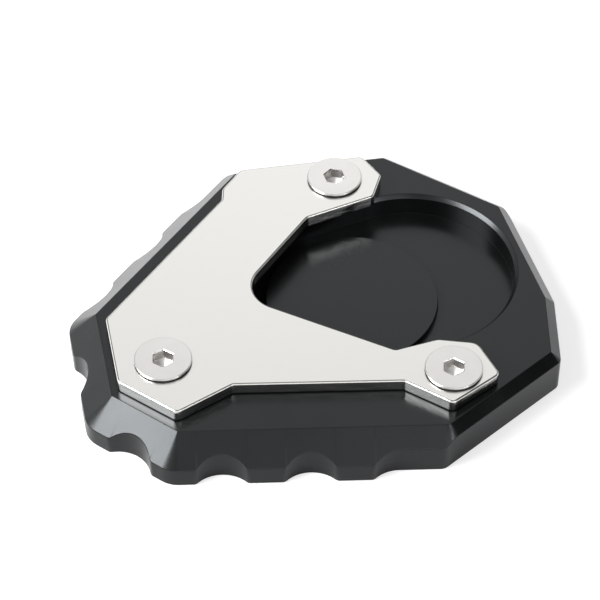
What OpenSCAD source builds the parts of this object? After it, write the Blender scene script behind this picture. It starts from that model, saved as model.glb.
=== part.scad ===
// Side-stand foot plate: a pocketed base, a clamp plate over it and three countersunk screws.
// Millimetres. The origin is on the ground, under the centre of the foot pad.
// +X runs along the front edge, +Y to the rear edge and +Z up.

/* [Base plate] */
// Height of the base plate
base_h = 10; // [8.5:0.5:16]
// How far the bevel of the top edge drops for each millimetre that it runs outwards
bevel_slope = 0.91; // [0.6:0.01:1.2]
// Top face, from the foot pad's centre to the front edge
front_reach = 39.7; // [39:0.1:46]
// Top face, from the foot pad's centre to its rear corner
rear_reach = 39.3; // [38.5:0.1:45]
// Top face, from the foot pad's centre to its left corner
left_reach = 54.6; // [54:0.1:60]
// Top face, from the foot pad's centre to its right corner
right_reach = 40.9; // [40:0.1:48]
// Width of the bevel along the scalloped edges
skirt_wide = 6; // [5:0.1:7]
// Width of the bevel along the plain edges
skirt_narrow = 2.2; // [1:0.1:3]
// Radius of the wall's corners beside the plain straight recesses
recess_corner_r = 2.5; // [1:0.1:3]
// Radius of the wall's rear right corner
rear_right_r = 10; // [4:0.5:12]

/* [Scallops] */
// Depth of a scallop in the wall
scallop_depth = 2.4; // [1.5:0.1:2.8]
// Depth of the half scallop that runs on to the rear left corner
rear_half_depth = 2.8; // [1.5:0.1:3]
// Radius of a scallop
scallop_r = 7; // [5:0.1:8]
// Radius of the lips on both sides of a scallop
lip_r = 1.5; // [0.8:0.1:2]
// Distance from one scallop to the next along an edge
scallop_pitch = 18.2; // [16:0.1:19]
// Centre of the front edge's first scallop, from the top face's front left corner
front_first = 8.8; // [7:0.1:12]
// Centre of the rear left edge's last scallop, from the top face's left corner
rear_left_last = 8; // [7:0.1:10]
// Centre of the left edge's scallop, from the top face's left corner
left_middle = 11.5; // [9:0.1:14]
// Centre of the bottom left edge's scallop, from the top face's corner at the left edge
bottom_left_middle = 8.7; // [7.5:0.1:9.5]

/* [Foot pocket] */
// Radius of the pocket's wide right end
pocket_r = 22.2; // [20:0.1:23]
// Centre of the wide end, to the right of the foot pad
pocket_x = 13.1; // [10:0.1:13.5]
// Centre of the wide end, to the rear of the foot pad
pocket_y = 4.7; // [2:0.1:5]
// Depth of the pocket below the top face
pocket_depth = 5.3; // [4:0.1:6]
// Width of the chamfer round the pocket's mouth
mouth_chamfer = 0.8; // [0.3:0.1:1.2]
// Radius of the round pad that carries the foot
pad_r = 18.5; // [15:0.1:19]
// Height of the pad above the pocket's floor
pad_rise = 1.4; // [0.5:0.1:2]
// Width of the chamfer round the pad
pad_chamfer = 0.3; // [0.1:0.05:0.6]
// Width of the groove between the pad and the pocket's left end
pad_groove = 3; // [1.5:0.1:3.5]

/* [Clamp plate] */
// Thickness of the clamp plate
plate_t = 3; // [2.5:0.1:5]
// Width of the bevel round its upper edge
plate_bevel = 0.4; // [0.2:0.05:0.8]
// Radius of its small corners
plate_corner_r = 1.4; // [1:0.1:2]
// Radius of the corner in its throat, round the foot
throat_r = 7; // [5:0.1:9]

/* [Screws] */
// Thread diameter of the screws
screw_d = 6; // [5:0.5:7]
// Length of the screws from the top of the head to the tip
screw_l = 12; // [10:0.5:12.5]
// Diameter of the screw heads
head_d = 12; // [10:0.1:13]
// Height of the straight rim of a head
head_rim = 0.5; // [0.2:0.05:0.8]
// Height of the heads above the clamp plate
head_proud = 0.8; // [0.5:0.05:1.2]
// Distance across the flats of the hexagon sockets
socket_af = 4; // [3:0.5:5]
// Depth of the hexagon sockets
socket_depth = 2.3; // [1.5:0.1:3]
// Angle by which the front left screw's socket is turned
left_turn = 28; // [0:1:60]
// Angle by which the front right screw's socket is turned
right_turn = 26; // [0:1:60]
// Angle by which the rear screw's socket is turned
rear_turn = 46; // [0:1:60]
// Diameter of the clearance holes in the clamp plate
clear_d = 6.6; // [6:0.1:8]
// Gap between a head's cone and its countersink
seat_gap = 0.05; // [0.02:0.01:0.1]
// Gap all round a screw's thread in its tapped hole
thread_gap = 0.05; // [0.02:0.01:0.1]
// Width of the chamfer at both ends of a tapped hole
tap_chamfer = 0.5; // [0.2:0.1:1]
// Front left screw, to the left of the foot pad
left_screw_x = 40.2; // [38:0.1:42]
// Front left screw, behind the top face's front edge
left_setback = 16.7; // [15.5:0.1:18]
// Front right screw, to the right of the foot pad
right_screw_x = 19.6; // [18:0.1:21]
// Front right screw, behind the top face's front edge
right_setback = 12.3; // [11:0.1:13]
// Rear screw, to the left of the foot pad
rear_screw_x = 2.5; // [0:0.1:5]
// Rear screw, in front of the top face's rear corner
rear_setback = 9.4; // [8:0.1:10]

/* [Hidden] */
$fn = 96;
ARC_STEP = 6;
OVER = 1;

LEFT = [-left_screw_x, left_setback - front_reach];
RIGHT = [right_screw_x, right_setback - front_reach];
REAR = [-rear_screw_x, rear_reach - rear_setback];

plate_top = base_h + plate_t;
head_top = plate_top + head_proud;
cone_top = head_top - head_rim;
pocket_floor = base_h - pocket_depth;
pad_top = pocket_floor + pad_rise;

// Corners of the base plate's top face, anticlockwise from the front left.
FACE = [
    [LEFT[0] + 2.8, -front_reach],
    [RIGHT[0] - 1.6, -front_reach],
    [right_reach - 0.3, RIGHT[1] + 6.8],
    [right_reach, RIGHT[1] + 22.6],
    [right_reach - 7.5, REAR[1] - 6.9],
    [REAR[0] + 11.4, rear_reach],
    [REAR[0] - 21.9, rear_reach - 4],
    [-left_reach, LEFT[1] + 16.5],
    [3.8 - left_reach, LEFT[1] - 6.7]
];

// Corners of the clamp plate, anticlockwise from its front left lobe, and their radii.
PLATE = [
    LEFT + [2.8, -14.2],
    LEFT + [14.3, -7],
    RIGHT + [-10.4, -2.8],
    RIGHT + [-0.8, -9.1],
    RIGHT + [9.5, -1.5],
    RIGHT + [5.5, 7.3],
    RIGHT + [-2.7, 8.6],
    RIGHT + [-11.7, 5.9],
    [-24.7, -4.8],
    REAR + [-6.5, -12],
    REAR + [8.3, -5.9],
    REAR + [10.4, 0.8],
    REAR + [6.4, 7],
    REAR + [-20.8, 3.6],
    REAR + [-24.8, -2.4],
    REAR + [-25, -5.8],
    LEFT + [-12.1, 12.3],
    LEFT + [-9.3, -5.4]
];
PLATE_CONCAVE = [1, 2, 7, 8, 9, 15];
PLATE_WIDE = [5, 6];

function unit(v) = v / norm(v);
function outward(v) = [v[1], -v[0]];
function cross2(a, b) = a[0] * b[1] - a[1] * b[0];
function angle_of(v) = atan2(v[1], v[0]);
// Signed angle from direction u to direction v.
function swing(u, v) = atan2(cross2(u, v), u * v);
// Directions of the edge that leaves corner i of an outline, and of the edge that reaches it.
function leaving(pts, i) = unit(pts[(i + 1) % len(pts)] - pts[i]);
function reaching(pts, i) = unit(pts[i] - pts[(i + len(pts) - 1) % len(pts)]);
// Point where two lines, each given by a point and a direction, cross.
function crossing(p, u, q, v) = p + u * cross2(q - p, v) / cross2(u, v);
// Corner i after the edge before it and the edge after it have moved outwards.
function moved_corner(pts, i, before, after) =
    let (u = reaching(pts, i), v = leaving(pts, i))
    crossing(pts[i] + outward(u) * before, u, pts[i] + outward(v) * after, v);
function arc(centre, r, from, to) =
    let (steps = ceil(abs(to - from) / ARC_STEP))
    [for (k = [0:steps]) let (a = from + (to - from) * k / steps) centre + r * [cos(a), sin(a)]];
// Arc of radius r round corner i, between walls that lie outside its two edges. A negative r is concave.
function corner_arc(pts, i, r, before = 0, after = 0) =
    let (
        u = reaching(pts, i),
        start = angle_of(outward(u)) + (r < 0 ? 180 : 0)
    )
    arc(moved_corner(pts, i, before - r, after - r), abs(r), start, start + swing(u, leaving(pts, i)));

// Angle at which a lip of a scallop runs into its hollow.
function lip_angle(depth) = asin((scallop_r - depth + lip_r) / (scallop_r + lip_r));
// Halves of a scallop in a wall along the X axis, whose solid lies below the axis.
function scallop_left(depth = scallop_depth) =
    let (a = lip_angle(depth))
    concat(
        arc([-(scallop_r + lip_r) * cos(a), -lip_r], lip_r, 90, a),
        arc([0, scallop_r - depth], scallop_r, 180 + a, 270)
    );
function scallop_right(depth = scallop_depth) =
    let (left = scallop_left(depth))
    [for (i = [len(left) - 1:-1:0]) [-left[i][0], left[i][1]]];
// Points laid along the wall of edge i of the top face, at distance s from its first corner.
function on_wall(i, s, points) =
    let (u = leaving(FACE, i), o = outward(u))
    [for (p = points) FACE[i] + u * (s + p[0]) + o * (skirt_wide + p[1])];
function scallop(i, s) = concat(on_wall(i, s, scallop_left()), on_wall(i, s, scallop_right()));
function plain_corner(i, w) = corner_arc(FACE, i, w, w, w);

// Plan of the base plate's walls. The last scallop of the front edge and the first of the rear left edge
// are half scallops, which run on as straight recesses to the corner.
rear_left_first = norm(FACE[7] - FACE[6]) - rear_left_last - 2 * scallop_pitch;
WALLS = concat(
    plain_corner(0, skirt_wide),
    scallop(0, front_first),
    scallop(0, front_first + scallop_pitch),
    on_wall(0, front_first + 2 * scallop_pitch, scallop_left()),
    corner_arc(FACE, 1, recess_corner_r, skirt_wide - scallop_depth, skirt_narrow),
    [for (i = [2, 3]) for (p = plain_corner(i, skirt_narrow)) p],
    corner_arc(FACE, 4, rear_right_r, skirt_narrow, skirt_narrow),
    plain_corner(5, skirt_narrow),
    corner_arc(FACE, 6, recess_corner_r, skirt_narrow, skirt_wide - rear_half_depth),
    on_wall(6, rear_left_first, scallop_right(rear_half_depth)),
    scallop(6, rear_left_first + scallop_pitch),
    scallop(6, rear_left_first + 2 * scallop_pitch),
    plain_corner(7, skirt_wide),
    scallop(7, left_middle),
    plain_corner(8, skirt_wide),
    scallop(8, bottom_left_middle)
);

// Block with the top face's outline above and a bevel that falls away from it all round.
module bevelled_block()
    hull() for (p = FACE) translate(p) cylinder(h = base_h, r1 = base_h / bevel_slope, r2 = 0.01, $fn = 48);

// Space of the pocket's outline from height z up, grown outwards by grow at z and by more further up.
module pocket_space(z, grow, more)
    hull() {
        translate([0, 0, z])
            cylinder(h = base_h + OVER - z, r1 = pad_r + pad_groove + grow, r2 = pad_r + pad_groove + more);
        translate([pocket_x, pocket_y, z])
            cylinder(h = base_h + OVER - z, r1 = pocket_r + grow, r2 = pocket_r + more);
    }

module foot_pad()
    rotate_extrude() polygon([
        [0, pocket_floor - OVER],
        [pad_r, pocket_floor - OVER],
        [pad_r, pad_top - pad_chamfer],
        [pad_r - pad_chamfer, pad_top],
        [0, pad_top]
    ]);

module tapped_hole(p) {
    r = screw_d / 2 + thread_gap;
    translate(p) {
        translate([0, 0, -OVER]) cylinder(h = base_h + 2 * OVER, r = r);
        translate([0, 0, -OVER]) cylinder(h = tap_chamfer + OVER, r1 = r + tap_chamfer + OVER, r2 = r);
    }
}

module base_plate() color([0.16, 0.17, 0.18]) {
    difference() {
        intersection() {
            linear_extrude(base_h) polygon(WALLS);
            bevelled_block();
        }
        pocket_space(pocket_floor, 0, 0);
        pocket_space(base_h - mouth_chamfer - OVER, -OVER, mouth_chamfer + OVER);
        for (p = [LEFT, RIGHT, REAR]) tapped_hole(p);
    }
    foot_pad();
}

// Outline of the clamp plate, drawn inwards by inset. Its arcs keep their centres.
function plate_outline(inset = 0) = [
    for (i = [0:len(PLATE) - 1])
        let (
            concave = len(search(i, PLATE_CONCAVE)) > 0,
            wide = len(search(i, PLATE_WIDE)) > 0,
            size = i == 8 ? throat_r : wide ? 2 * plate_corner_r : plate_corner_r,
            r = concave ? -size : size
        )
        for (p = corner_arc(PLATE, i, r - inset, -inset, -inset)) p
];

// Ring with a triangular section, whose slanted face cuts the bevel round the clamp plate's upper edge.
module bevel_cut() {
    over = plate_bevel;
    section = [[-over, -plate_bevel - over], [-over, over], [plate_bevel + over, over]];
    rings = [for (q = section) [for (p = plate_outline(q[0])) [p[0], p[1], plate_top + q[1]]]];
    n = len(rings[0]);
    polyhedron(
        points = [for (r = rings) for (p = r) p],
        faces = [
            for (k = [0:2]) for (i = [0:n - 1])
                let (up = (k + 1) % 3 * n, on = (i + 1) % n)
                [k * n + i, up + i, up + on, k * n + on]
        ]
    );
}

// Clearance hole and countersink that match a screw's head.
module countersink(p)
    translate(p) {
        translate([0, 0, base_h - OVER]) cylinder(h = plate_t + 2 * OVER, r = clear_d / 2);
        translate([0, 0, cone_top - head_d / 2])
            cylinder(h = head_d / 2 + seat_gap, r1 = seat_gap, r2 = head_d / 2 + 2 * seat_gap);
    }

module clamp_plate() color([0.91, 0.91, 0.9]) difference() {
    translate([0, 0, base_h]) linear_extrude(plate_t) polygon(plate_outline());
    bevel_cut();
    for (p = [LEFT, RIGHT, REAR]) countersink(p);
}

// Countersunk screw with a hexagon socket, turned by a few degrees as it was tightened.
module screw(p, turn) color([0.87, 0.87, 0.86])
    translate([p[0], p[1], head_top]) rotate(turn) difference() {
        union() {
            translate([0, 0, -head_rim]) cylinder(h = head_rim, d = head_d);
            translate([0, 0, -head_rim - (head_d - screw_d) / 2])
                cylinder(h = (head_d - screw_d) / 2, d1 = screw_d, d2 = head_d);
            translate([0, 0, -screw_l]) cylinder(h = screw_l - head_rim, d = screw_d);
        }
        translate([0, 0, -socket_depth]) cylinder(h = socket_depth + OVER, d = socket_af / cos(30), $fn = 6);
        translate([0, 0, -socket_depth - socket_af / 4])
            cylinder(h = socket_af / 4, r1 = 0, r2 = socket_af / 2);
    }

module screw_front_left() screw(LEFT, left_turn);
module screw_front_right() screw(RIGHT, right_turn);
module screw_rear() screw(REAR, rear_turn);

base_plate();
clamp_plate();
screw_front_left();
screw_front_right();
screw_rear();
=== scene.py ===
import math

import bmesh
import bpy
import numpy as np
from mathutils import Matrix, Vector


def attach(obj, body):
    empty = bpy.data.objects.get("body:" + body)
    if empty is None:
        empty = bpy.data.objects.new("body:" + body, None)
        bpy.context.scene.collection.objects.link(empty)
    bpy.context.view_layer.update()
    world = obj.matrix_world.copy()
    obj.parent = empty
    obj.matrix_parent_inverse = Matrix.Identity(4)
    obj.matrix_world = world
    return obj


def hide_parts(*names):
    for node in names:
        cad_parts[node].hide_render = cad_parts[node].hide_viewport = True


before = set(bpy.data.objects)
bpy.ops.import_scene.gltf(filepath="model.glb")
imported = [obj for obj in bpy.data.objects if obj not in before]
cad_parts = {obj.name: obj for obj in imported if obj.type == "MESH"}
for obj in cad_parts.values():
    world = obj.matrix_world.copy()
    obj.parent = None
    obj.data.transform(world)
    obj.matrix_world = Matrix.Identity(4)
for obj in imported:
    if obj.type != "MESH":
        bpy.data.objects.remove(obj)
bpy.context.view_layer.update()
scene = bpy.context.scene
MM = 0.001

# Base plate
BASE_H = 10.0
FRONT_REACH = 39.7
REAR_REACH = 39.3
LEFT_REACH = 54.6
RIGHT_REACH = 40.9
BEVEL_SLOPE = 0.91
SKIRT_WIDE = 6.0
SKIRT_NARROW = 2.2
RECESS_CORNER_R = 2.5
REAR_RIGHT_R = 10.0

# Scallops
SCALLOP_DEPTH = 2.4
REAR_HALF_DEPTH = 2.8
SCALLOP_R = 7.0
LIP_R = 1.5
SCALLOP_PITCH = 18.2
FRONT_FIRST = 8.8
REAR_LEFT_LAST = 8.0
LEFT_MIDDLE = 11.5
BOTTOM_LEFT_MIDDLE = 8.7

# Foot pocket
POCKET = np.array([13.1, 4.7])
POCKET_R = 22.2
POCKET_DEPTH = 5.3
MOUTH_CHAMFER = 0.8
PAD_R = 18.5
PAD_RISE = 1.4
PAD_GROOVE = 3.0
POCKET_FLOOR = BASE_H - POCKET_DEPTH
PAD_TOP = POCKET_FLOOR + PAD_RISE

# Clamp plate
PLATE_T = 3.0
PLATE_CORNER_R = 1.4
THROAT_R = 7.0
CLEAR_D = 6.6
PLATE_TOP = BASE_H + PLATE_T

# Screws
SCREW_D = 6.0
SCREW_L = 12.0
HEAD_D = 12.0
HEAD_RIM = 0.5
HEAD_PROUD = 0.8
SOCKET_AF = 4.0
SOCKET_DEPTH = 2.3
SEAT_GAP = 0.05
THREAD_GAP = 0.05
TAP_CHAMFER = 0.5
HEAD_TOP = PLATE_TOP + HEAD_PROUD
LEFT = np.array([-40.2, -23.0])
RIGHT = np.array([19.6, -27.4])
REAR = np.array([-2.5, 29.9])
SCREWS = {
    "screw_front_left": (LEFT, 28),
    "screw_front_right": (RIGHT, 26),
    "screw_rear": (REAR, 46),
}

# Small radii and chamfers of the finish
TOP_EDGE_R = 0.28
WALL_EDGE_R = 0.35
GROUND_EDGE_R = 0.3
FLOOR_CORNER_R = 0.12
PLATE_FOOT_R = 0.25
PLATE_SHOULDER_R = 0.2
PLATE_ROLL_R = 0.48
HEAD_EDGE_R = 0.22
RIM_EDGE_R = 0.1
TIP_CHAMFER = 0.6

# Detail of the meshes
TOP_EDGE_RINGS = 5
WALL_EDGE_RINGS = 6
GROUND_EDGE_RINGS = 5
WALL_STEP = 1.5
# Radius of the flat cap in the middle of a turned face
CAP_R = 0.5
# How far a cutter goes past the face that it opens
OVER = 1.0

# Corners of the base plate's top face and of the clamp plate, anticlockwise
FACE = np.array([
    [LEFT[0] + 2.8, -FRONT_REACH],
    [RIGHT[0] - 1.6, -FRONT_REACH],
    [RIGHT_REACH - 0.3, RIGHT[1] + 6.8],
    [RIGHT_REACH, RIGHT[1] + 22.6],
    [RIGHT_REACH - 7.5, REAR[1] - 6.9],
    [REAR[0] + 11.4, REAR_REACH],
    [REAR[0] - 21.9, REAR_REACH - 4],
    [-LEFT_REACH, LEFT[1] + 16.5],
    [3.8 - LEFT_REACH, LEFT[1] - 6.7],
])
PLATE = np.array([
    LEFT + [2.8, -14.2],
    LEFT + [14.3, -7],
    RIGHT + [-10.4, -2.8],
    RIGHT + [-0.8, -9.1],
    RIGHT + [9.5, -1.5],
    RIGHT + [5.5, 7.3],
    RIGHT + [-2.7, 8.6],
    RIGHT + [-11.7, 5.9],
    [-24.7, -4.8],
    REAR + [-6.5, -12],
    REAR + [8.3, -5.9],
    REAR + [10.4, 0.8],
    REAR + [6.4, 7],
    REAR + [-20.8, 3.6],
    REAR + [-24.8, -2.4],
    REAR + [-25, -5.8],
    LEFT + [-12.1, 12.3],
    LEFT + [-9.3, -5.4],
])
PLATE_CONCAVE = (1, 2, 7, 8, 9, 15)
PLATE_WIDE = (5, 6)
PLATE_THROAT = 8

# Colours, as linear red, green and blue
OXIDE = (0.0014, 0.0018, 0.0017), (0.0028, 0.0034, 0.0032)
PLATE_STEEL = (0.815, 0.806, 0.778), (0.878, 0.87, 0.842)
SCREW_STEEL = (0.76, 0.742, 0.725), (0.83, 0.812, 0.795)
WHITE = (1, 1, 1, 1)

# What the metal reflects: directions, and stops of the cosine of the angle to them and of the level there
SKY = [
    # A bright card behind the object, with a dark gap round it
    ((0.03, 0.685, 0.728), [(0.5, 1.0), (0.59, 0.5), (0.93, 0.5), (0.965, 1.06)]),
    # A glow low behind the object, with a dimmer ring round it
    ((0.03, 0.95, 0.31), [(0.6, 1.0), (0.74, 0.7), (0.855, 0.78), (0.9, 1.12), (1.0, 1.2)]),
    # A dark flag at the right
    ((0.76, -0.12, 0.64), [(0.86, 1.0), (0.94, 0.02)]),
    # A shaded patch above the camera
    ((0.0, -0.44, 0.9), [(0.94, 1.0), (0.975, 0.35)]),
    # A bright ring round a shaded patch at the front left
    ((-0.5, -0.6, 0.62), [(0.62, 1.0), (0.78, 1.65), (0.845, 1.2), (0.885, 0.6)]),
]
DIFFUSE_LEVEL = 0.3

# The photograph's view
TARGET = Vector((-0.0114, -0.0075, 0.0138))
DISTANCE = 0.5269
AZIMUTH = -1.95
ELEVATION = 46.72
LENS = 150
SENSOR = 36

# Floor, just below the ground face, and how far it reaches
FLOOR_GAP = 0.02
FLOOR_REACH = 2000


def unit(v):
    return v / np.linalg.norm(v)


def outward(v):
    """The direction to the right of an edge, which is outwards on an anticlockwise outline."""
    return np.array([v[1], -v[0]])


def cross2(a, b):
    return a[0] * b[1] - a[1] * b[0]


def leaving(points, i):
    """Direction of the edge that leaves corner i."""
    return unit(points[(i + 1) % len(points)] - points[i])


def reaching(points, i):
    """Direction of the edge that reaches corner i."""
    return unit(points[i] - points[i - 1])


def moved_corner(points, i, before, after):
    """Corner i after the edge before it and the edge after it have moved outwards."""
    u, v = reaching(points, i), leaving(points, i)
    p, q = points[i] + outward(u) * before, points[i] + outward(v) * after
    return p + u * cross2(q - p, v) / cross2(u, v)


def arc(centre, radius, start, end, step=3.0):
    """Points of an arc, in degrees."""
    count = max(2, math.ceil(abs(end - start) / step))
    angles = np.radians(np.linspace(start, end, count + 1))
    return np.asarray(centre) + radius * np.column_stack([np.cos(angles), np.sin(angles)])


def corner_arc(points, i, radius, before, after):
    """Arc round corner i, between walls that lie outside its two edges. A negative radius is concave."""
    u, v = reaching(points, i), leaving(points, i)
    normal = outward(u)
    start = math.degrees(math.atan2(normal[1], normal[0])) + (180 if radius < 0 else 0)
    swing = math.degrees(math.atan2(cross2(u, v), u @ v))
    centre = moved_corner(points, i, before - radius, after - radius)
    return arc(centre, abs(radius), start, start + swing)


def inset_polygon(points, inset):
    return np.array([moved_corner(points, i, -inset, -inset) for i in range(len(points))])


def spaced(points, longest):
    """The closed outline with its long straight stretches divided."""
    result = []
    for p, q in zip(points, np.roll(points, -1, axis=0)):
        count = max(1, math.ceil(np.linalg.norm(q - p) / longest))
        result += [p + (q - p) * k / count for k in range(count)]
    return np.array(result)


def distinct(points, apart=1e-4):
    """The closed outline without its repeated points."""
    keep = np.linalg.norm(points - np.roll(points, 1, axis=0), axis=1) > apart
    return points[keep]


def half_scallop(depth=SCALLOP_DEPTH):
    """Left half of a scallop in a wall along the X axis, whose solid lies below the axis."""
    lip = math.asin((SCALLOP_R - depth + LIP_R) / (SCALLOP_R + LIP_R))
    half = (SCALLOP_R + LIP_R) * math.cos(lip)
    angle = math.degrees(lip)
    return np.vstack([
        arc([-half, -LIP_R], LIP_R, 90, angle),
        arc([0, SCALLOP_R - depth], SCALLOP_R, 180 + angle, 270),
    ])


def mirrored(points):
    return points[::-1] * [-1, 1]


def walls():
    """Plan of the base plate's walls: scallops on four sides, plain recesses beside two corners."""

    def on_wall(i, s, points):
        u = leaving(FACE, i)
        return FACE[i] + np.outer(s + points[:, 0], u) + np.outer(SKIRT_WIDE + points[:, 1], outward(u))

    def scallop(i, s):
        return np.vstack([on_wall(i, s, half_scallop()), on_wall(i, s, mirrored(half_scallop()))])

    def plain(i, w):
        return corner_arc(FACE, i, w, w, w)

    rear_left_first = np.linalg.norm(FACE[7] - FACE[6]) - REAR_LEFT_LAST - 2 * SCALLOP_PITCH
    return np.vstack([
        plain(0, SKIRT_WIDE),
        scallop(0, FRONT_FIRST),
        scallop(0, FRONT_FIRST + SCALLOP_PITCH),
        on_wall(0, FRONT_FIRST + 2 * SCALLOP_PITCH, half_scallop()),
        corner_arc(FACE, 1, RECESS_CORNER_R, SKIRT_WIDE - SCALLOP_DEPTH, SKIRT_NARROW),
        plain(2, SKIRT_NARROW),
        plain(3, SKIRT_NARROW),
        corner_arc(FACE, 4, REAR_RIGHT_R, SKIRT_NARROW, SKIRT_NARROW),
        plain(5, SKIRT_NARROW),
        corner_arc(FACE, 6, RECESS_CORNER_R, SKIRT_NARROW, SKIRT_WIDE - REAR_HALF_DEPTH),
        on_wall(6, rear_left_first, mirrored(half_scallop(REAR_HALF_DEPTH))),
        scallop(6, rear_left_first + SCALLOP_PITCH),
        scallop(6, rear_left_first + 2 * SCALLOP_PITCH),
        plain(7, SKIRT_WIDE),
        scallop(7, LEFT_MIDDLE),
        plain(8, SKIRT_WIDE),
        scallop(8, BOTTOM_LEFT_MIDDLE),
    ])


def nearest_on(polygon, points):
    """The nearest point of a closed polygon for each of the points, and its distance."""
    best = np.full(len(points), np.inf)
    result = np.zeros_like(points)
    for a, b in zip(polygon, np.roll(polygon, -1, axis=0)):
        along = np.clip(((points - a) @ (b - a)) / ((b - a) @ (b - a)), 0, 1)
        candidate = a + along[:, None] * (b - a)
        distance = np.linalg.norm(points - candidate, axis=1)
        closer = distance < best
        best[closer] = distance[closer]
        result[closer] = candidate[closer]
    return result, best


def outline_normals(points):
    """Outward normals of an anticlockwise outline, at its points."""
    ahead = np.roll(points, -1, axis=0) - points
    ahead /= np.linalg.norm(ahead, axis=1)[:, None]
    along = ahead + np.roll(ahead, 1, axis=0)
    along /= np.linalg.norm(along, axis=1)[:, None]
    return np.column_stack([along[:, 1], -along[:, 0]])


def at_height(points, z):
    return np.column_stack([points, np.broadcast_to(z, len(points))])


def mesh_object(name, vertices, faces, weld=2e-7):
    """A new object with its mesh in metres, welded and with its normals outwards."""
    mesh = bpy.data.meshes.new(name)
    mesh.from_pydata((np.asarray(vertices) * MM).tolist(), [], faces)
    bm = bmesh.new()
    bm.from_mesh(mesh)
    bmesh.ops.remove_doubles(bm, verts=bm.verts, dist=weld)
    bmesh.ops.recalc_face_normals(bm, faces=bm.faces)
    bm.to_mesh(mesh)
    bm.free()
    obj = bpy.data.objects.new(name, mesh)
    scene.collection.objects.link(obj)
    return obj


def lofted(name, rings):
    """A solid through closed rings with equal numbers of points, with flat caps on the first and the last."""
    n = len(rings[0])
    faces = []
    for k in range(len(rings) - 1):
        for i in range(n):
            j = (i + 1) % n
            faces.append((k * n + i, k * n + j, (k + 1) * n + j, (k + 1) * n + i))
    faces.append(tuple(range(n))[::-1])
    faces.append(tuple(range((len(rings) - 1) * n, len(rings) * n)))
    return mesh_object(name, np.vstack(rings), faces)


def turned(name, profile, centre, segments, turn=0.0):
    """A solid of revolution with flat caps on both ends. The profile's points are (radius, height)."""
    angles = np.radians(turn) + np.linspace(0, 2 * math.pi, segments, endpoint=False)
    circle = np.column_stack([np.cos(angles), np.sin(angles)])
    return lofted(name, [at_height(np.asarray(centre) + circle * r, z) for r, z in profile])


def fillet(centre, radius, start, end, steps):
    """Points of a profile's round, in degrees from the radius axis towards the height axis."""
    angles = np.radians(np.linspace(start, end, steps + 1))
    return [(centre[0] + radius * math.cos(a), centre[1] + radius * math.sin(a)) for a in angles]


def combine(obj, cutters, operation="DIFFERENCE"):
    """Takes the cutters out of the object, or adds them to it, and deletes them."""
    for cutter in cutters:
        modifier = obj.modifiers.new("cut", "BOOLEAN")
        modifier.operation = operation
        modifier.solver = "EXACT"
        modifier.object = cutter
    bpy.context.view_layer.update()
    done = bpy.data.meshes.new_from_object(obj.evaluated_get(bpy.context.evaluated_depsgraph_get()))
    obj.modifiers.clear()
    obj.data = done
    for cutter in cutters:
        bpy.data.objects.remove(cutter)


def finished(obj, node, material, sharp=32):
    """Smooth shading between sharp edges, the material, and the piece's place in the frame."""
    mesh = obj.data
    mesh.polygons.foreach_set("use_smooth", [True] * len(mesh.polygons))
    mesh.set_sharp_from_angle(angle=math.radians(sharp))
    normals = obj.modifiers.new("normals", "WEIGHTED_NORMAL")
    normals.keep_sharp = True
    normals.weight = 100
    mesh.materials.clear()
    mesh.materials.append(material)
    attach(obj, "root")
    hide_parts(node)


def base_block():
    """The base plate without its holes: rounded top edge, bevel, rounded wall edge, walls and ground edge."""
    slope = math.atan(BEVEL_SLOPE)
    inset = TOP_EDGE_R * math.tan(slope / 2)
    wall = distinct(spaced(walls(), WALL_STEP))
    near, reach = nearest_on(inset_polygon(FACE, inset), wall)
    away = (wall - near) / reach[:, None]
    wall_z = BASE_H - BEVEL_SLOPE * (reach - inset)
    rings = []
    for angle in np.linspace(0, slope, TOP_EDGE_RINGS):
        d = TOP_EDGE_R * math.sin(angle)
        z = BASE_H - TOP_EDGE_R * (1 - math.cos(angle))
        rings.append(at_height(near + away * d, z))
    tangent = WALL_EDGE_R * math.tan((math.pi / 2 - slope) / 2)
    for angle in np.linspace(slope, math.pi / 2, WALL_EDGE_RINGS):
        d = reach - WALL_EDGE_R * (1 - math.sin(angle))
        z = wall_z - tangent + WALL_EDGE_R * math.cos(angle)
        rings.append(at_height(near + away * d[:, None], z))
    normals = outline_normals(wall)
    for angle in np.linspace(0, math.pi / 2, GROUND_EDGE_RINGS):
        inwards = GROUND_EDGE_R * (1 - math.cos(angle))
        rings.append(at_height(wall - normals * inwards, GROUND_EDGE_R * (1 - math.sin(angle))))
    return lofted("foot_plate", rings)


def pocket_outline(grow):
    """The pocket's plan, round the pad's groove at the left and the wide end at the right."""
    left, right = PAD_R + PAD_GROOVE, POCKET_R
    reach = np.linalg.norm(POCKET)
    along = math.degrees(math.atan2(POCKET[1], POCKET[0]))
    lean = math.degrees(math.acos((left - right) / reach))
    return np.vstack([
        arc(POCKET, right + grow, along - lean, along + lean, step=1.5),
        arc((0, 0), left + grow, along + lean, along - lean + 360, step=1.5),
    ])


def pocket():
    """Cutter of the pocket: rounded floor corner, wall, and a mouth chamfer with softened edges."""
    mouth = BASE_H - MOUTH_CHAMFER
    profile = [
        (-FLOOR_CORNER_R, POCKET_FLOOR),
        (-FLOOR_CORNER_R / 4, POCKET_FLOOR + FLOOR_CORNER_R / 4),
        (0, POCKET_FLOOR + FLOOR_CORNER_R),
        (0, mouth - 0.06),
        (0.04, mouth + 0.02),
        (MOUTH_CHAMFER - 0.08, BASE_H - 0.1),
        (MOUTH_CHAMFER + 0.1, BASE_H),
        (MOUTH_CHAMFER + 0.1 + 2 * OVER, BASE_H + OVER),
    ]
    return lofted("pocket", [at_height(pocket_outline(grow), z) for grow, z in profile])


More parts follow.
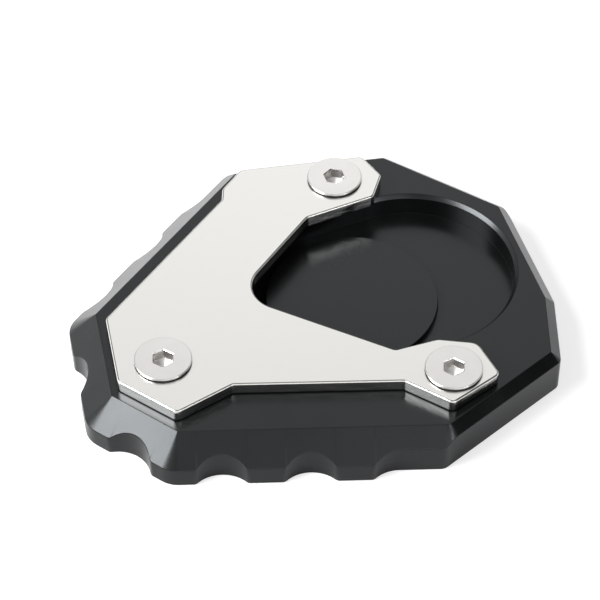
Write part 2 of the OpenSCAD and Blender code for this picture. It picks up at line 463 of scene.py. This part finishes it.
def pad():
    """Round pad on the pocket's floor, with a rounded foot and a softened upper edge."""
    profile = [
        (PAD_R + 0.3, POCKET_FLOOR - 0.1),
        (PAD_R + 0.07, POCKET_FLOOR + 0.06),
        (PAD_R, POCKET_FLOOR + 0.22),
        (PAD_R, PAD_TOP - 0.16),
        (PAD_R - 0.04, PAD_TOP - 0.05),
        (PAD_R - 0.14, PAD_TOP),
        (CAP_R, PAD_TOP),
    ]
    return turned("pad", profile, (0, 0), segments=288)


def tapped_hole(centre):
    """Cutter of a screw's hole through the base plate, chamfered below."""
    radius = SCREW_D / 2 + THREAD_GAP
    profile = [
        (radius + TAP_CHAMFER + OVER, -OVER),
        (radius, TAP_CHAMFER),
        (radius, BASE_H + OVER),
    ]
    return turned("tapped", profile, centre, segments=64)


def base_plate():
    obj = base_block()
    combine(obj, [pocket(), *[tapped_hole(place) for place, _ in SCREWS.values()]])
    combine(obj, [pad()], "UNION")
    return obj


def plate_outline(inset):
    """Plan of the clamp plate, with rounded corners."""
    arcs = []
    for i in range(len(PLATE)):
        size = THROAT_R if i == PLATE_THROAT else PLATE_CORNER_R * (2 if i in PLATE_WIDE else 1)
        radius = -size if i in PLATE_CONCAVE else size
        arcs.append(corner_arc(PLATE, i, radius - inset, -inset, -inset))
    return np.vstack(arcs)


def countersink(centre):
    """Cutter of a screw's hole in the clamp plate, with its seat."""
    tip = HEAD_TOP - HEAD_RIM - HEAD_D / 2
    edge = PLATE_TOP - tip + SEAT_GAP
    profile = [
        (CLEAR_D / 2, BASE_H - OVER),
        (CLEAR_D / 2, CLEAR_D / 2 + tip - SEAT_GAP),
        (edge, PLATE_TOP),
        (edge + OVER, PLATE_TOP + OVER),
    ]
    return turned("countersink", profile, centre, segments=128)


def clamp_plate():
    """The clamp plate: a broken lower edge, a sheared wall, a rolled upper edge and countersunk holes."""
    shoulder = fillet((-PLATE_SHOULDER_R, PLATE_TOP - 0.33), PLATE_SHOULDER_R, 0, 36, steps=3)
    roll = fillet((-0.42, PLATE_TOP - PLATE_ROLL_R), PLATE_ROLL_R, 40, 90, steps=8)
    profile = [
        (PLATE_FOOT_R, BASE_H),
        (0.07, BASE_H + 0.08),
        (0.0, BASE_H + PLATE_FOOT_R),
        *[(-x, z) for x, z in shoulder + roll],
    ]
    obj = lofted("clamp_top", [at_height(plate_outline(inset), z) for inset, z in profile])
    combine(obj, [countersink(place) for place, _ in SCREWS.values()])
    return obj


def socket(place, turn):
    """Cutters of a hexagon socket with a broken upper edge and a drilled bottom."""
    across = SOCKET_AF / math.cos(math.radians(30)) / 2
    bottom = HEAD_TOP - SOCKET_DEPTH
    hexagon = [
        (across, bottom),
        (across, HEAD_TOP - 0.28),
        (across + 0.06, HEAD_TOP - 0.13),
        (across + 0.24, HEAD_TOP),
        (across + 0.24 + OVER, HEAD_TOP + 0.6),
    ]
    drill = [
        (0.01, bottom - SOCKET_AF / 4),
        (SOCKET_AF / 2 + 0.02, bottom + 0.01),
    ]
    return [
        turned("socket", hexagon, place, segments=6, turn=turn),
        turned("drill", drill, place, segments=64),
    ]


def screw(name, place, turn):
    """Countersunk screw with its socket turned as it was tightened."""
    radius, thread = HEAD_D / 2, SCREW_D / 2
    rim = HEAD_TOP - HEAD_RIM
    profile = [
        (CAP_R, HEAD_TOP),
        *fillet((radius - HEAD_EDGE_R, HEAD_TOP - HEAD_EDGE_R), HEAD_EDGE_R, 90, 0, steps=5),
        *fillet((radius - RIM_EDGE_R, rim + RIM_EDGE_R), RIM_EDGE_R, 0, -45, steps=3),
        (thread, rim - (radius - thread)),
        (thread, HEAD_TOP - SCREW_L + TIP_CHAMFER),
        (thread - TIP_CHAMFER, HEAD_TOP - SCREW_L),
    ]
    obj = turned(name, profile, place, segments=160)
    combine(obj, socket(place, turn))
    return obj


class Nodes:
    """The node tree of a material or of the world, with the building blocks that the finishes share."""

    def __init__(self, owner):
        owner.use_nodes = True
        self.tree = owner.node_tree

    def named(self, name):
        return self.tree.nodes[name]

    def feed(self, node, inputs):
        """Sets the node's inputs to the values given, or links them to the outputs given."""
        for key, value in inputs.items():
            if isinstance(value, bpy.types.NodeSocket):
                self.tree.links.new(value, node.inputs[key])
            else:
                node.inputs[key].default_value = value

    def add(self, kind, inputs=None, **settings):
        node = self.tree.nodes.new("ShaderNode" + kind)
        for name, value in settings.items():
            setattr(node, name, value)
        self.feed(node, inputs or {})
        return node

    def part(self, vector, axis):
        return self.add("SeparateXYZ", {"Vector": vector}).outputs[axis]

    def place(self):
        """The frame's own coordinates, in metres."""
        return self.add("TexCoord").outputs["Object"]

    def upright(self):
        """1 on a face that looks up, 0 on a wall and -1 on a face that looks down."""
        return self.part(self.add("NewGeometry").outputs["Normal"], "Z")

    def noise(self, vector, scale, detail, roughness=0.5):
        inputs = {"Vector": vector, "Scale": scale, "Detail": detail, "Roughness": roughness}
        return self.add("TexNoise", inputs).outputs["Fac"]

    def stretched_noise(self, vector, scales, detail):
        """Noise with a scale of its own along each axis."""
        stretched = self.add("Mapping", {"Vector": vector, "Scale": scales}).outputs["Vector"]
        return self.noise(stretched, scale=1.0, detail=detail, roughness=0.6)

    def ramp(self, value, start, end, low=0.0, high=1.0):
        """Low where the value is at its start, and high where it is at its end."""
        inputs = {"Value": value, "From Min": start, "From Max": end, "To Min": low, "To Max": high}
        return self.add("MapRange", inputs).outputs["Result"]

    def levels(self, value, stops):
        """Grey levels along a value from 0 to 1, through stops of value and level."""
        node = self.add("ValToRGB", {"Fac": value})
        elements = node.color_ramp.elements
        while len(elements) < len(stops):
            elements.new(0.5)
        for element, (position, level) in zip(elements, stops):
            element.position = position
            element.color = (level, level, level, 1)
        return node.outputs["Color"]

    def mixed(self, factor, colors):
        """From the first to the second of two colours."""
        first, second = colors
        inputs = {"Factor": factor, "A": (*first, 1), "B": (*second, 1)}
        return self.add("Mix", inputs, data_type="RGBA").outputs["Result"]

    def darkened(self, color, level):
        inputs = {"Factor": 1.0, "A": color, "B": level}
        return self.add("Mix", inputs, data_type="RGBA", blend_type="MULTIPLY").outputs["Result"]

    def product(self, a, b):
        return self.add("Math", {0: a, 1: b}, operation="MULTIPLY").outputs[0]

    def around(self, direction, centre, stops):
        """Levels by the angle to a direction, through stops of its cosine and the level."""
        inputs = {0: direction, 1: Vector(centre).normalized()}
        cosine = self.add("VectorMath", inputs, operation="DOT_PRODUCT")
        return self.levels(cosine.outputs["Value"], stops)

    def bump(self, height, distance, strength, normal=None):
        """A bumped normal, on top of another one where it is given."""
        node = self.add("Bump", {"Height": height, "Distance": distance, "Strength": strength})
        if normal is not None:
            self.feed(node, {"Normal": normal})
        return node.outputs["Normal"]


def new_material(name):
    material = bpy.data.materials.new(name)
    nodes = Nodes(material)
    return material, nodes, nodes.named("Principled BSDF")


def anodised():
    """Black anodised aluminium: a dark oxide with a satin, finely blasted grain."""
    material, nodes, shader = new_material("black_anodised")
    place = nodes.place()
    grain = nodes.noise(place, scale=5200, detail=3, roughness=0.6)
    cloud = nodes.noise(place, scale=90, detail=3)
    nodes.feed(shader, {
        "Base Color": nodes.mixed(nodes.ramp(cloud, 0.3, 0.7), OXIDE),
        "Roughness": nodes.ramp(cloud, 0.3, 0.7, low=0.23, high=0.28),
        "Normal": nodes.bump(grain, distance=0.000012, strength=0.35),
        "IOR": 1.48,
        "Specular Tint": (0.95, 1.0, 1.03, 1),
    })
    return material


def bright_steel():
    """Bright satin plate: fine grain along X, a painted dark reflection on the rolled edge, painted shadow at
    the foot, a slightly wavy wall.
    """
    material, nodes, shader = new_material("bright_plate")
    place, upright = nodes.place(), nodes.upright()
    brush = nodes.stretched_noise(place, scales=(260, 9000, 9000), detail=3)
    # Painted dark reflection: the colour is darkened in a band where the rolled edge starts to tip away from
    # looking up
    painted_edge_reflection = nodes.levels(upright, [(0.86, 1.0), (0.92, 0.3), (0.98, 0.3), (0.997, 1.0)])
    # Painted contact shadow: the colour is nearly black at the plate's foot and fades out a little higher up
    painted_shadow_heights = [(BASE_H + up) * MM for up in (0.15, 0.6)]
    painted_contact_shadow = nodes.ramp(nodes.part(place, "Z"), *painted_shadow_heights, low=0.05)
    wave = nodes.stretched_noise(place, scales=(130, 130, 420), detail=2)
    waved = nodes.bump(wave, distance=0.0004, strength=nodes.ramp(upright, 0.05, 0.4, low=0.35, high=0.0))
    nodes.feed(shader, {
        "Base Color": nodes.darkened(nodes.darkened(nodes.mixed(brush, PLATE_STEEL), painted_edge_reflection), painted_contact_shadow),
        "Roughness": nodes.ramp(upright, 0.3, 0.95, low=0.14, high=0.265),
        "Normal": nodes.bump(brush, distance=0.00001, strength=0.25, normal=waved),
        "Metallic": 1.0,
    })
    return material


def screw_steel():
    """Plated screw: a soft grain, painted shade on the cone and socket wall, darkest where faces look down,
    and a duller socket.
    """
    material, nodes, shader = new_material("screw_steel")
    place, upright = nodes.place(), nodes.upright()
    grain = nodes.noise(place, scale=4200, detail=3, roughness=0.6)
    cloud = nodes.noise(place, scale=300, detail=3)
    # Painted shade: faces that look down, under the head, are made nearly black
    painted_underside_shade = nodes.ramp(upright, -0.45, -0.1, low=0.04)
    # Painted shade: walls and the socket's sides are made darker than faces that look up
    painted_wall_shade = nodes.levels(upright, [(0.2, 0.66), (0.5, 1.0)])
    mouth = [(HEAD_TOP - down) * MM for down in (0.7, 0.3)]
    nodes.feed(shader, {
        "Base Color": nodes.darkened(nodes.darkened(nodes.mixed(cloud, SCREW_STEEL), painted_underside_shade), painted_wall_shade),
        "Roughness": nodes.ramp(nodes.part(place, "Z"), *mouth, low=0.4, high=0.24),
        "Normal": nodes.bump(grain, distance=0.00001, strength=0.3),
        "Metallic": 1.0,
    })
    return material


def paper():
    """White floor that keeps the object's shadow, with a painted glow, brighter to the rear, for all but
    camera rays, and clear from below.
    """
    material, nodes, shader = new_material("paper")
    seen = nodes.add("LightPath").outputs["Is Camera Ray"]
    # Painted glow: rays other than camera rays see the floor glow faintly at the front and brighter to the
    # rear
    reflected = nodes.ramp(nodes.part(nodes.place(), "Y"), -0.05, 0.03, low=0.08, high=1.15)
    nodes.feed(shader, {
        "Base Color": (0.6, 0.6, 0.6, 1),
        "Roughness": 0.9,
        "Specular IOR Level": 0.0,
        "Emission Color": WHITE,
        "Emission Strength": nodes.add("Mix", {"Factor": seen, "A": reflected, "B": 0.65}).outputs["Result"],
    })
    sheet = nodes.add("MixShader", {
        "Fac": nodes.add("NewGeometry").outputs["Backfacing"],
        1: shader.outputs["BSDF"],
        2: nodes.add("BsdfTransparent").outputs["BSDF"],
    })
    nodes.feed(nodes.named("Material Output"), {"Surface": sheet.outputs["Shader"]})
    return material


def studio():
    """The world: white to the eye, dimmer to matt surfaces, and with cards and flags in reflections."""
    world = bpy.data.worlds.new("studio")
    scene.world = world
    nodes = Nodes(world)
    direction = nodes.add("TexCoord").outputs["Generated"]
    sky = [nodes.around(direction, centre, stops) for centre, stops in SKY]
    reflected = sky[0]
    for other in sky[1:]:
        reflected = nodes.product(reflected, other)
    path = nodes.add("LightPath").outputs
    shown = nodes.add("Mix", {
        "Factor": path["Is Glossy Ray"],
        "A": nodes.ramp(path["Is Diffuse Ray"], 0, 1, low=1.0, high=DIFFUSE_LEVEL),
        "B": reflected,
    })
    nodes.feed(nodes.named("Background"), {"Color": WHITE, "Strength": shown.outputs["Result"]})


def softbox(name, direction, distance, size, radiance):
    """A square lamp that faces the origin, with its brightness as it shows in a reflection."""
    lamp = bpy.data.lights.new(name, "AREA")
    lamp.shape = "SQUARE"
    lamp.size = size
    lamp.energy = math.pi * size**2 * radiance
    obj = bpy.data.objects.new(name, lamp)
    scene.collection.objects.link(obj)
    away = Vector(direction).normalized()
    obj.location = away * distance
    obj.rotation_euler = away.to_track_quat("Z", "Y").to_euler()


def floor():
    corners = [(-1, -1), (1, -1), (1, 1), (-1, 1)]
    vertices = [(x * FLOOR_REACH, y * FLOOR_REACH, -FLOOR_GAP) for x, y in corners]
    obj = mesh_object("floor", vertices, [(0, 1, 2, 3)])
    obj.data.materials.append(paper())


def camera():
    """The photograph's view, from a long lens above the front."""
    data = bpy.data.cameras.new("camera")
    data.sensor_width = SENSOR
    data.lens = LENS
    data.clip_start, data.clip_end = 0.01, 20
    obj = bpy.data.objects.new("camera", data)
    scene.collection.objects.link(obj)
    azimuth, elevation = math.radians(AZIMUTH), math.radians(ELEVATION)
    back = Vector((
        math.sin(azimuth) * math.cos(elevation),
        -math.cos(azimuth) * math.cos(elevation),
        math.sin(elevation),
    ))
    obj.location = TARGET + back * DISTANCE
    obj.rotation_mode = "QUATERNION"
    obj.rotation_quaternion = (-back).to_track_quat("-Z", "Y")
    scene.camera = obj


finished(base_plate(), "base_plate", anodised())
finished(clamp_plate(), "clamp_plate", bright_steel())
steel = screw_steel()
for node, (place, turn) in SCREWS.items():
    finished(screw(node.replace("screw", "bolt"), place, turn), node, steel, sharp=25)
floor()
studio()
softbox("key", direction=(-0.71, -0.17, 0.67), distance=0.75, size=0.42, radiance=14.0)
softbox("fill", direction=(0.55, -0.55, 0.63), distance=0.9, size=0.16, radiance=7.0)
camera()

scene.view_settings.view_transform = "Standard"
